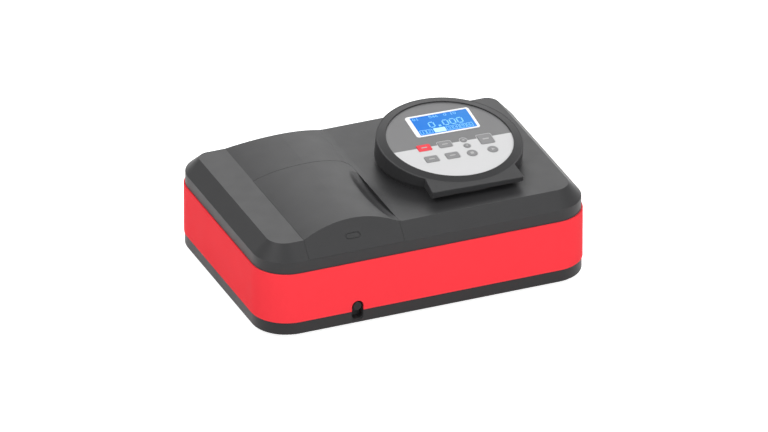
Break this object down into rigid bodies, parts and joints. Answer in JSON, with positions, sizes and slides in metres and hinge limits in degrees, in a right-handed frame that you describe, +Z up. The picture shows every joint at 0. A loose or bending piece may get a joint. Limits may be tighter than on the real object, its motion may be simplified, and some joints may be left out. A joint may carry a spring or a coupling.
{
  "type": "visible spectrophotometer",
  "caption": "Bench-top visible spectrophotometer with a hinged sample lid, a pull-rod cell carriage and a round tilted control pod with a display and keys.",
  "frame": {"origin": "middle of the footprint, on the bench under the feet", "axes": "+X to the right of someone in front of it, +Y to its back, +Z up"},
  "size_m": [0.46, 0.32, 0.1773],
  "materials": {
    "case_grey": "satin",
    "band_red": "satin",
    "pod_grey": "satin",
    "overlay_print": "satin printed film",
    "display_white": "gloss",
    "display_blue": "gloss, lit",
    "key_grey": "satin",
    "key_red": "satin",
    "rubber": "matt",
    "steel": "satin",
    "black_plastic": "satin",
    "black_metal": "matt",
    "cast_metal": "cast",
    "board_green": "satin",
    "mirror": "polished",
    "grating": "polished, ruled",
    "glass": "polished"
  },
  "bodies": {
    "case": {"base_tray": "case_grey", "rubber_feet": "rubber", "case_screws": "steel", "middle_band": "band_red", "top_cover": "case_grey", "hinge_brackets": "black_metal", "sample_tub": "black_metal", "tub_gasket": "rubber", "guide_rods": "steel", "knob_pocket": "pod_grey", "pod_pedestal": "case_grey", "pod_housing": "pod_grey", "pod_bezel": "pod_grey", "panel_overlay": "overlay_print", "display_frame": "display_white", "display_module": "display_blue", "key_board": "board_green", "optical_bench": "cast_metal", "monochromator_housing": "black_metal", "monochromator_lid": "black_metal", "monochromator_mirrors": "mirror", "grating_motor": "black_metal", "slit_plates": "steel", "filter_motor": "black_metal", "lamp_housing": "steel", "condenser_lens": "glass", "halogen_lamp": "glass", "lamp_socket": "cast_metal", "detector_block": "black_metal", "detector_board": "board_green", "main_board": "board_green", "power_supply": "steel", "rear_panel": "black_metal", "mains_inlet": "black_plastic", "switch_body": "black_plastic", "fan_frame": "black_plastic", "serial_port": "steel"},
    "lid": {"sample_lid": "case_grey", "lid_baffle": "black_plastic", "hinge_pins": "steel"},
    "carriage": {"cell_carriage": "black_metal", "cell_holder": "black_metal", "pull_rod": "steel", "pull_knob": "black_plastic"},
    "key_zero_cap": {"key_zero": "key_red"},
    "key_print_cap": {"key_print": "key_grey"},
    "key_up_cap": {"key_up": "key_grey"},
    "key_down_cap": {"key_down": "key_grey"},
    "key_enter_cap": {"key_enter": "key_grey"},
    "key_mode_cap": {"key_mode": "key_grey"},
    "key_wavelength_cap": {"key_wavelength": "key_grey"},
    "key_stop_cap": {"key_stop": "key_grey"},
    "key_start_cap": {"key_start": "key_grey"},
    "grating_turret": {"diffraction_grating": "grating", "grating_mount": "cast_metal"},
    "filter_disc": {"filter_wheel": "cast_metal"},
    "rotor": {"fan_rotor": "black_plastic"},
    "rocker": {"power_rocker": "black_plastic"}
  },
  "joints": [
    {"name": "lid_hinge", "type": "hinge", "parent": "case", "child": "lid", "pos_m": [-0.1015, 0.0175, 0.1372], "axis": [-1, 0, 0], "range_deg": [0, 92]},
    {"name": "carriage_slide", "type": "slide", "parent": "case", "child": "carriage", "axis": [0, -1, 0], "range_m": [0, 0.048]},
    {"name": "key_zero_press", "type": "slide", "parent": "case", "child": "key_zero_cap", "axis": [-0.0225, 0.1391, -0.99], "range_m": [0, 0.0005], "stiffness_N_per_m": 1000, "springref_m": -0.0005},
    {"name": "key_print_press", "type": "slide", "parent": "case", "child": "key_print_cap", "axis": [-0.0225, 0.1391, -0.99], "range_m": [0, 0.0005], "stiffness_N_per_m": 1000, "springref_m": -0.0005},
    {"name": "key_up_press", "type": "slide", "parent": "case", "child": "key_up_cap", "axis": [-0.0225, 0.1391, -0.99], "range_m": [0, 0.0005], "stiffness_N_per_m": 1000, "springref_m": -0.0005},
    {"name": "key_down_press", "type": "slide", "parent": "case", "child": "key_down_cap", "axis": [-0.0225, 0.1391, -0.99], "range_m": [0, 0.0005], "stiffness_N_per_m": 1000, "springref_m": -0.0005},
    {"name": "key_enter_press", "type": "slide", "parent": "case", "child": "key_enter_cap", "axis": [-0.0225, 0.1391, -0.99], "range_m": [0, 0.0005], "stiffness_N_per_m": 1000, "springref_m": -0.0005},
    {"name": "key_mode_press", "type": "slide", "parent": "case", "child": "key_mode_cap", "axis": [-0.0225, 0.1391, -0.99], "range_m": [0, 0.0005], "stiffness_N_per_m": 1000, "springref_m": -0.0005},
    {"name": "key_wavelength_press", "type": "slide", "parent": "case", "child": "key_wavelength_cap", "axis": [-0.0225, 0.1391, -0.99], "range_m": [0, 0.0005], "stiffness_N_per_m": 1000, "springref_m": -0.0005},
    {"name": "key_stop_press", "type": "slide", "parent": "case", "child": "key_stop_cap", "axis": [-0.0225, 0.1391, -0.99], "range_m": [0, 0.0005], "stiffness_N_per_m": 1000, "springref_m": -0.0005},
    {"name": "key_start_press", "type": "slide", "parent": "case", "child": "key_start_cap", "axis": [-0.0225, 0.1391, -0.99], "range_m": [0, 0.0005], "stiffness_N_per_m": 1000, "springref_m": -0.0005},
    {"name": "grating_turn", "type": "hinge", "parent": "case", "child": "grating_turret", "pos_m": [0.052, -0.042, 0.064], "axis": [0, 0, 1], "range_deg": [-20, 20]},
    {"name": "filter_wheel_turn", "type": "hinge", "parent": "case", "child": "filter_disc", "pos_m": [0.107, -0.01, 0.086], "axis": [1, 0, 0], "continuous": true},
    {"name": "fan_spin", "type": "hinge", "parent": "case", "child": "rotor", "pos_m": [0.032, 0.145, 0.062], "axis": [0, 1, 0], "continuous": true},
    {"name": "rocker_tilt", "type": "hinge", "parent": "case", "child": "rocker", "pos_m": [0.098, 0.152, 0.062], "axis": [1, 0, 0], "range_deg": [-18, 0]}
  ]
}
